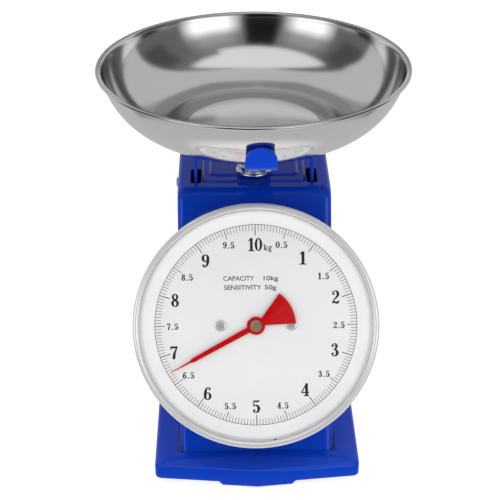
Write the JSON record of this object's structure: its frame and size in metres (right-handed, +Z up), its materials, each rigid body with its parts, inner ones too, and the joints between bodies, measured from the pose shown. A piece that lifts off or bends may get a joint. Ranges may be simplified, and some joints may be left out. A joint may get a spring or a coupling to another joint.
{
  "type": "kitchen scale",
  "caption": "Mechanical spring kitchen scale with a sloped round dial, a blue pressed-steel case on a flared base and a lift-off polished steel bowl.",
  "frame": {"origin": "on the table, straight below the bowl's centre (the weighing axis)", "axes": "+Z up, the dial faces -Y and leans back, +X to the right as seen from the front"},
  "size_m": [0.24, 0.2525, 0.301],
  "materials": {
    "blue_paint": "gloss",
    "polished_steel": "mirror",
    "chrome": "polished chrome",
    "white_card": "satin white paint",
    "white_margin": "satin",
    "red_paint": "satin paint",
    "brass": "turned",
    "zinc_steel": "zinc plated",
    "spring_steel": "bright",
    "clear_lens": "clear",
    "black_rubber": "matt",
    "nylon": "satin"
  },
  "bodies": {
    "case": {"case_shell": "blue_paint", "back_cover": "blue_paint", "side_screws": "chrome", "side_nuts": "zinc_steel", "base_skirt": "blue_paint", "bottom_plate": "zinc_steel", "foot_front_left": "black_rubber", "foot_front_right": "black_rubber", "foot_back_left": "black_rubber", "foot_back_right": "black_rubber", "foot_screws": "zinc_steel", "foot_nuts": "zinc_steel", "frame_left": "zinc_steel", "frame_right": "zinc_steel", "frame_bridge": "zinc_steel", "frame_screws": "zinc_steel", "overload_stop": "zinc_steel", "fixed_pins": "zinc_steel", "dial_drum": "blue_paint", "drum_rivets": "zinc_steel", "dial_posts": "zinc_steel", "dial_plate": "white_card", "dial_screws": "chrome", "dial_margin": "white_margin", "lens_gasket": "black_rubber", "lens": "clear_lens", "bezel": "chrome", "snap_ring": "chrome", "front_bearing": "brass", "gear_posts": "zinc_steel", "gear_plate": "zinc_steel", "gear_screws": "zinc_steel", "rear_bearing": "brass", "rack_guide": "zinc_steel", "spring_left": "spring_steel", "spring_right": "spring_steel", "knob_washer": "nylon"},
    "pan_carrier": {"pan_yoke": "blue_paint", "pan_arm": "blue_paint", "arm_rivets": "zinc_steel", "crossbar": "zinc_steel", "crossbar_rivets": "zinc_steel", "lower_spring_pins": "zinc_steel", "rack_pin": "zinc_steel", "leg_pins": "zinc_steel"},
    "bowl": {"bowl": "polished_steel"},
    "rack": {"rack": "brass"},
    "pointer": {"pointer_shaft": "zinc_steel", "pinion": "brass", "pointer": "red_paint", "pointer_boss": "brass"},
    "upper_link": {"upper_link": "zinc_steel"},
    "lower_link": {"lower_link": "zinc_steel"},
    "hanger": {"hanger": "zinc_steel", "upper_spring_pins": "zinc_steel"},
    "zero_knob": {"zero_knob": "chrome"}
  },
  "joints": [
    {"name": "pan_slide", "type": "slide", "parent": "case", "child": "pan_carrier", "axis": [0, 0, 1], "range_m": [-0.0081, 0.0166], "stiffness_N_per_m": 3960, "deforming": ["spring_left", "spring_right"]},
    {"name": "bowl_lift", "type": "slide", "parent": "pan_carrier", "child": "bowl", "axis": [0, 0, 1], "range_m": [0, 0.12]},
    {"name": "rack_slide", "type": "slide", "parent": "case", "child": "rack", "axis": [0, 0.4067, 0.9135], "range_m": [-0.0076, 0.0153]},
    {"name": "pointer_turn", "type": "hinge", "parent": "case", "child": "pointer", "pos_m": [0, -0.08053, 0.11759], "axis": [0, -0.9135, 0.4067], "range_deg": [-119, 242]},
    {"name": "upper_link_swing", "type": "hinge", "parent": "case", "child": "upper_link", "pos_m": [0, 0.038, 0.15422], "axis": [1, 0, 0], "range_deg": [-22, 11]},
    {"name": "lower_link_swing", "type": "hinge", "parent": "case", "child": "lower_link", "pos_m": [0, 0.038, 0.09622], "axis": [1, 0, 0], "range_deg": [-22, 11]},
    {"name": "zero_turn", "type": "hinge", "parent": "case", "child": "zero_knob", "pos_m": [0, 0, 0.2098], "axis": [0, 0, 1], "range_deg": [-544, 544]},
    {"name": "hanger_slide", "type": "slide", "parent": "case", "child": "hanger", "axis": [0, 0, 1], "range_m": [-0.0015, 0.0015]}
  ],
  "couplings": [
    {"joint": "rack_slide", "follows": "pan_slide", "ratio": 0.91355},
    {"joint": "pointer_turn", "follows": "pan_slide", "rad_per_m": 253.76},
    {"joint": "upper_link_swing", "follows": "pan_slide", "rad_per_m": -22.3},
    {"joint": "lower_link_swing", "follows": "pan_slide", "rad_per_m": -22.3},
    {"joint": "zero_turn", "follows": "hanger_slide", "rad_per_m": -6283.2}
  ]
}
